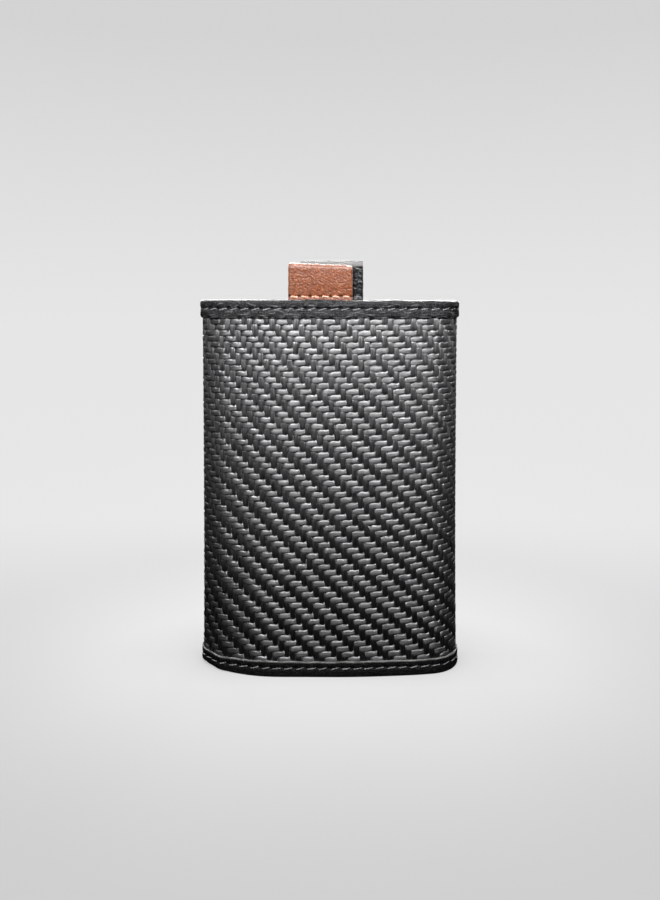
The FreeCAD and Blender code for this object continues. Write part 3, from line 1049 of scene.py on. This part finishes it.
def make_seam_strip():
    """The leather strip over the shell's seam, up the middle of the back, and its two rows."""
    half = 4.0
    edge = 0.25
    low, high = BOTTOM_BAND_TOP - 0.2, TOP_BAND_LOW + 0.2
    section = arc(-half + edge, BINDING_T - edge, edge, 180, 90, 4)
    section += line(-half + edge, BINDING_T, half - edge, BINDING_T, 23)
    section += arc(half - edge, BINDING_T - edge, edge, 90, 0, 4)
    section += [(half, -0.05), (-half, -0.05)]
    a, h = across_path(section)
    z = np.linspace(low, high, 520)[:, None]
    row_at = half - 1.4
    count = int((high - low) / STITCH_PITCH)
    pitch = (high - low) / count
    from_row = np.abs(a) - row_at
    hole = bell(np.hypot(to_nearest(z - low, pitch), from_row), 0.26)
    push = leather_swell(from_row) - 0.1 * bell(from_row, 0.3) - 0.2 * hole
    push = (push + wave(z, 3, 20, 0.02, HEIGHT)) * (h > BINDING_T - 0.01)
    s = OUTLINE / 2 + a + wave(z, 2, 12, 0.05, HEIGHT)
    points = on_sleeve(s, z, h + push)
    tube_piece("seam_strip_leather", "band", "band_leather", "seam_strip", points, False)
    rows = Shape()
    back_y = HALF_DEPTH + BINDING_T - SEAT - row_at**2 / (2 * FRONT_RADIUS)
    for sign in (-1, 1):
        start = (sign * row_at, back_y, low + pitch / 2)
        straight_stitches(rows, start, (0, 0, 1), (0, 1, 0), pitch, count)
    rows.build("seam_strip_stitches", "grey_thread", "band_thread", replaces=("seam_strip_thread",))


# --- divider


def plate(name, material, slot, node, section, steps):
    """A closed (y, z) section carried along a CAD node's width, with its cloth place."""
    low, high = mm_box(node)
    y, z = across_path(section)
    x = np.linspace(low[0], high[0], steps)[:, None]
    points = stacked(x * (1 - waist_at(1.0, z) / HALF_WIDTH), y, z)
    tube_piece(name, material, slot, node, points, False, cloth=stacked(x, z, y))


def make_divider():
    low, high = mm_box("divider_panel")
    hem_low, hem_high = mm_box("divider_hem")
    half, hem_half = high[1], hem_high[1]
    rise = np.linspace(low[2], high[2], 30)
    section = [(-half, z) for z in rise] + [(half, z) for z in rise[::-1]]
    plate("divider_cloth", "divider", "lining_fabric", "divider_panel", section, 90)

    foot, top = hem_low[2], hem_high[2] - hem_half
    fold = line(-hem_half, foot, -hem_half, top, 8) + arc(0, top, hem_half, 180, 0, 13)
    fold += line(hem_half, top, hem_half, foot, 8)
    fold += [(hem_half, foot), (half, foot), (half, top), (-half, top), (-half, foot), (-hem_half, foot)]
    plate("divider_hem_tape", "tape", "tape_fabric", "divider_hem", fold, 200)

    rows = Shape()
    z = mm_middle("divider_hem_thread")[2]
    count = int(2 * (hem_high[0] - 1.5) / STITCH_PITCH)
    for sign in (-1, 1):
        start = (-(count - 1) * STITCH_PITCH / 2, sign * (hem_half - 0.03), z)
        straight_stitches(
            rows, start, (1, 0, 0), (0, sign, 0), STITCH_PITCH, count, size=0.8, proud=0.06
        )
    rows.build("divider_hem_stitches", "dark_thread", "dark_thread", replaces=("divider_hem_thread",))


def make_divider_tapes():
    """Tape up each side of the wall, folded round the divider's edge."""
    reach = 3.0
    section = [(-reach, 0.02), (-reach, 0.2)]
    section += [(v, 0.36 + 0.25 * bell(v, 0.8)) for v in np.linspace(-reach, reach, 15)[1:-1]]
    section += [(reach, 0.2), (reach, 0.02)]
    along, depth = across_path(section)
    for name, middle in (("left", 3 * OUTLINE / 4), ("right", OUTLINE / 4)):
        node = "divider_tape_" + name
        low, high = mm_box(node)
        z = np.linspace(low[2], high[2], 60)[:, None]
        points = on_sleeve(middle + along, z, -WALL_T - depth)
        cloth = stacked(along, z, 0)
        tube_piece(node + "_cloth", "tape", "tape_fabric", node, points, False, cloth=cloth)


# --- ribbons and their anchors

RIBBON_HALF_WIDTH, RIBBON_HALF_T = 7.0, 0.2
RIB_PITCH = 0.55
RIB_STEP = RIB_PITCH / 4
LOOP_BEND_R = 1.2


def path_length(path):
    """How far along a path each of its points lies."""
    return np.concatenate([[0], np.cumsum(np.hypot(*np.diff(path, axis=0).T))])


def path_normals(path):
    """The direction a quarter turn from the path at each point, from +z towards +h."""
    tangent = np.gradient(path, axis=0)
    tangent /= np.linalg.norm(tangent, axis=1, keepdims=True)
    return stacked(tangent[:, 1], -tangent[:, 0])


def ribbon_strip(x_middle, path, out_axis):
    """A ribbed strip that follows a (y, z) path. out_axis gives the path's sideways direction."""
    along = path_length(path)
    across = np.array([-1, -0.985, -0.5, 0, 0.5, 0.985, 1])
    edge = np.array([0.35, 0.85, 1, 1, 1, 0.85, 0.35])
    rib = 1 + 0.22 * np.sin(FULL_TURN * along / RIB_PITCH)
    x = x_middle + np.concatenate([across, across[::-1]]) * RIBBON_HALF_WIDTH
    section_t = np.concatenate([edge, -edge[::-1]]) * RIBBON_HALF_T
    thick = section_t[None, :] * rib[:, None] * 0.82
    y = path[:, :1] + thick * out_axis[:, :1]
    z = path[:, 1:] + thick * out_axis[:, 1:]
    shape = Shape()
    shape.tube(stacked(x, y, z), cloth=stacked(x, along[:, None], 0))
    return shape


def upright_strip(x_middle, y, low, high):
    z = np.arange(low, high, RIB_STEP)
    return ribbon_strip(x_middle, stacked(y, z), stacked(np.ones_like(z), 0))


def loop_strip(x_middle, low_y, high_y, low, top):
    """The ribbon's middle: down, across under the cards, and up again."""
    radius = LOOP_BEND_R
    path = [(low_y, z) for z in np.arange(top, low + radius, -RIB_STEP)]
    path += arc(low_y + radius, low + radius, radius, 180, 270, 14)
    path += [(y, low) for y in np.arange(low_y + radius, high_y - radius, RIB_STEP)[1:]]
    path += arc(high_y - radius, low + radius, radius, -90, 0, 14)
    path += [(high_y, z) for z in np.arange(low + radius, top, RIB_STEP)[1:]] + [(high_y, top)]
    path = np.array(path)
    return ribbon_strip(x_middle, path, path_normals(path))


def metres(*place):
    return tuple(float(value) * MM for value in place)


def blended_run(side, node, name):
    """An upright run of ribbon, from the top of its loop up to the top of its CAD node."""
    low, high = mm_box(side + node)
    x, y, _ = (low + high) / 2
    joint_z = mm_box(side + "_ribbon_loop")[1][2]
    strip = upright_strip(x, y, joint_z, high[2])
    run = strip.build(side + name, "ribbon", "ribbon", None, (side + node,))
    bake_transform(run)


def make_ribbon(side):
    """One side's ribbon: fixed run, loop and pull run."""
    fixed, pull, loop = (side + node for node in ("_ribbon_fixed_run", "_ribbon_pull_run", "_ribbon_loop"))
    low_y, high_y = sorted((mm_middle(fixed)[1], mm_middle(pull)[1]))
    low, high = (corner[2] for corner in mm_box(loop))
    strip = loop_strip(mm_middle(fixed)[0], low_y, high_y, low + RIBBON_HALF_T, high)
    strip.build(side + "_ribbon_under_cards", "ribbon", "ribbon", side + "_loop", (loop,))
    blended_run(side, "_ribbon_fixed_run", "_ribbon_wall_run")
    blended_run(side, "_ribbon_pull_run", "_ribbon_tab_run")


def pillow_faces(rows, columns):
    """Faces of two grids of the same size, one behind the other, and of the rim that joins them."""
    count = rows * columns
    number = np.arange(count).reshape(rows, columns)
    border = np.concatenate([number[:, 0], number[-1, 1:], number[-2::-1, -1], number[0, -2:0:-1]])
    after = np.roll(border, -1)
    rim = np.stack([border, border + count, after + count, after], -1)
    sheet = grid_faces(rows, columns, False, False)
    return np.concatenate([sheet, sheet[:, ::-1] + count, rim])


ANCHOR_T = 0.45
ANCHOR_OVER_RIBBON = 0.75  # how much further it stands out where the ribbon lies under it
ANCHOR_THREAD_DEPTH = 1.17
ANCHOR_EDGE_R = 0.35
ANCHOR_PITCH, ANCHOR_STITCHES = 3.0, 5


def make_anchor(side, sign):
    """The leather patch over the ribbon's still end, with two rows of stitches."""
    low, high = mm_box(side + "_anchor_patch")
    x, _, z_middle = (low + high) / 2
    half_w, _, half_h = (high - low) / 2
    u = np.linspace(-1, 1, 61)[:, None]
    v = np.linspace(-1, 1, 33)[None, :]
    at_x, at_z = x + (half_w - 0.05) * u, z_middle + (half_h - 0.05) * v
    inset = np.minimum(half_w * (1 - np.abs(u)), half_h * (1 - np.abs(v)))
    over_ribbon = ease((RIBBON_HALF_WIDTH + 0.6 - np.abs(half_w * u)) / 0.8)
    over_ribbon = over_ribbon * ease((half_h * (1 - v)) / 1.2)
    depth = (ANCHOR_T + ANCHOR_OVER_RIBBON * over_ribbon) * np.sqrt(np.clip(inset / ANCHOR_EDGE_R, 0.02, 1))
    wall = HALF_DEPTH - WALL_T - at_x**2 / (2 * (FRONT_RADIUS - WALL_T))
    front, back = (stacked(at_x, sign * y, at_z) for y in (wall - depth, wall + 0.02))
    patch = Shape()
    points = np.concatenate([front.reshape(-1, 3), back.reshape(-1, 3)])
    patch.add(points, pillow_faces(u.size, v.size))
    patch.build(side + "_anchor_leather", "foot", "base_leather", replaces=(side + "_anchor_patch",))
    threads = Shape()
    first_x = x - (ANCHOR_STITCHES - 1) * ANCHOR_PITCH / 2
    y = sign * (HALF_DEPTH - WALL_T - ANCHOR_THREAD_DEPTH)
    for z in (z_middle + half_h * 0.6, z_middle - half_h * 0.6):
        straight_stitches(
            threads, (first_x, y, z), (1, 0, 0), (0, -sign, 0), ANCHOR_PITCH, ANCHOR_STITCHES, proud=0.08
        )
    threads.build(
        side + "_anchor_stitches", "dark_thread", "dark_thread", replaces=(side + "_anchor_thread",)
    )


# --- tabs

TAB_LOW = float(mm_box("front_tab_leather")[0][2])
TAB_STITCH_Z = float(mm_middle("front_tab_thread")[2]) - 0.25
TAB_LEATHER_T = 0.8
TAB_GAP = 0.4
TAB_GRAIN = 0.13
TAB_EDGE_R = 0.35
TAB_COLUMNS = 117
TAB_LEG_STEPS = 72
TAB_FOLD_STEPS = 18
TAB_STITCHES = 6
TAB_STITCH_LENGTH = 1.95
TAB_STITCH_SIZE = 1.8
TAB_STITCH_SLANT = 0.14
TAB_SEAT = 0.15
TAB_TOUCH_GAP = 0.03


def tab_path(top):
    """The folded strip's middle line: up the front leg, over, and down the back one."""
    leg_z = np.linspace(TAB_LOW, top - TAB_GAP / 2 - TAB_LEATHER_T, TAB_LEG_STEPS)
    from_row = leg_z - TAB_STITCH_Z
    swell = 0.16 * ease(from_row / 4.5) - 0.05 * bell(from_row, 0.6)
    leg_y = TAB_GAP / 2 + TAB_LEATHER_T / 2 + swell
    leg = np.stack([leg_y, leg_z], -1)
    fold = arc(0, leg_z[-1], leg_y[-1], 180, 0, TAB_FOLD_STEPS)[1:-1]
    return np.concatenate([leg * (-1, 1), fold, leg[::-1]])


def tab_surface(x_middle, half_width, y_middle, top, slope, stitch_pitch):
    """The folded strip's points, (across, around section, 3), its crest, where the fold is painted paler,
    partly rubbed and partly a painted highlight, and its marks.
    """
    x = np.linspace(-1, 1, TAB_COLUMNS)[:, None] * half_width
    rounding = np.sqrt(np.clip((half_width - np.abs(x)) / TAB_EDGE_R, 0.09, 1))
    path = tab_path(top)
    normal = -path_normals(path)
    slantwise = path_length(path)[None, :] + 0.5 * x + 40
    grain = 0.45 * pebbles(x / 1.4, slantwise, 0.5)
    grain = grain + 0.55 * pebbles(x / 1.4, slantwise + 50, 0.85)
    from_row = path[:, 1][None, :] - TAB_STITCH_Z
    to_hole = to_nearest(x + TAB_STITCHES * stitch_pitch / 2, stitch_pitch)
    hole = bell(np.hypot(to_hole / 0.4, (from_row - 0.1) / 0.24), 1.0)
    dent = 0.12 * bell(from_row, 0.32) + 0.3 * hole
    half_t = TAB_LEATHER_T / 2
    loop = np.concatenate([path, path[::-1]])
    outside = (half_t + TAB_GRAIN * (grain - 0.5) - dent)[..., None] * normal
    inside = np.broadcast_to(-half_t * normal[::-1], outside.shape)
    yz = loop[None] + np.concatenate([outside, inside], axis=1) * rounding[..., None]
    y, z = yz[..., 0], yz[..., 1]
    share = ease((z - TAB_LOW) / (top - TAB_LOW))
    y = y_middle + y + wave(x[:, 0], 1, 5, 0.05, 24.0)[:, None] * share
    side_wave = wave(z[0], 1, 6, 0.05, 14.0)[None, :]
    lean = slope * x * share
    rise = wave(x[:, 0], 2, 7, 0.04, 24.0)[:, None] * share
    points = stacked(x_middle + x * (1 - 0.006 * share) + side_wave, y, z + lean + rise)
    # Crest: where the fold's top is painted paler, partly rubbed and partly a painted highlight.
    crest = ease((z - top + 1.4) / 0.3) * (1 - 0.4 * ease((z - top + 0.25) / 0.2))
    hole, painted_crease_shade = (np.concatenate([v, 0 * v], axis=1) for v in (hole, crease_marks(grain)))
    return points, crest, {"hole": hole, "painted_crease_shade": painted_crease_shade * (1 - 0.8 * crest)}


def make_tab(side, inner, leather, thread, slope, crest_wear_and_highlight, depth):
    """A folded leather tab and its stitches.

    inner is 1 or -1, towards the other tab. wear is how far the fold's crest is painted paler, partly
    rubbed and partly a painted highlight, and depth how strong the painted shade in the creases of its
    grain is.
    """
    low, high = mm_box(side + "_tab_leather")
    x, y, _ = (low + high) / 2
    half_width = (high[0] - low[0]) / 2
    pitch = 2 * half_width / (TAB_STITCHES + 0.15)
    points, crest, marks = tab_surface(x, half_width, y, high[2], slope, pitch)
    points[..., 1] = inner * np.minimum(inner * points[..., 1], -TAB_TOUCH_GAP)
    cut = np.zeros((TAB_COLUMNS, 1))
    cut[[0, -1]] = 0.3
    # The crest is painted paler, partly rubbed and partly a painted highlight; the cut side edges show raw
    # fibres.
    marks["raw_edge_and_highlight"] = np.clip(crest_wear_and_highlight * crest + cut, 0, 1)
    # Painted shade in the grain's creases, scaled by depth.
    marks["painted_crease_shade"] = depth * marks["painted_crease_shade"]
    rows, columns, _ = points.shape
    k = np.arange(columns // 2 - 1)
    first = np.stack([k, k + 1, columns - 2 - k, columns - 1 - k], -1)
    last = first[:, ::-1] + (rows - 1) * columns
    faces = np.concatenate([grid_faces(rows, columns, False, True), first, last])
    fold = Shape()
    fold.add(points.reshape(-1, 3), faces, **{name: mark.reshape(-1, 1) for name, mark in marks.items()})
    body = side + "_tab"
    fold.build(side + "_tab_fold", leather, leather + "_leather", body, (side + "_tab_leather",))
    stitches = Shape()
    start_x = x - (TAB_STITCHES - 1) * pitch / 2
    face_y = TAB_GAP / 2 + TAB_LEATHER_T - TAB_SEAT
    for face in (-1, 1):
        straight_stitches(
            stitches, (start_x, y + face * face_y, TAB_STITCH_Z), (1, 0, 0), (0, face, 0),
            pitch, TAB_STITCHES, length=TAB_STITCH_LENGTH, slant=TAB_STITCH_SLANT * face,
            size=TAB_STITCH_SIZE, proud=0.05 if face == inner else 0.2,
        )
    stitches.build(side + "_tab_stitches", thread, thread, body, (side + "_tab_thread",))


# --- everything


def main():
    make_camera()
    make_stage()
    make_lights()
    make_shell()
    make_top_binding()
    make_bottom_binding()
    make_binding_threads()
    make_base()
    make_lining()
    make_inner_layers()
    make_seam_strip()
    make_divider()
    make_divider_tapes()
    for side, sign in (("front", -1), ("rear", 1)):
        make_ribbon(side)
        make_anchor(side, sign)
    # Each tab's crest is painted paler, partly as a painted highlight, and its grain's creases get painted
    # shade.
    make_tab("front", 1, "tan", "tan_thread", slope=-0.042, crest_wear_and_highlight=0.05, depth=0.45)
    make_tab("rear", -1, "black", "dark_thread", slope=0.0, crest_wear_and_highlight=0.28, depth=1.0)


main()
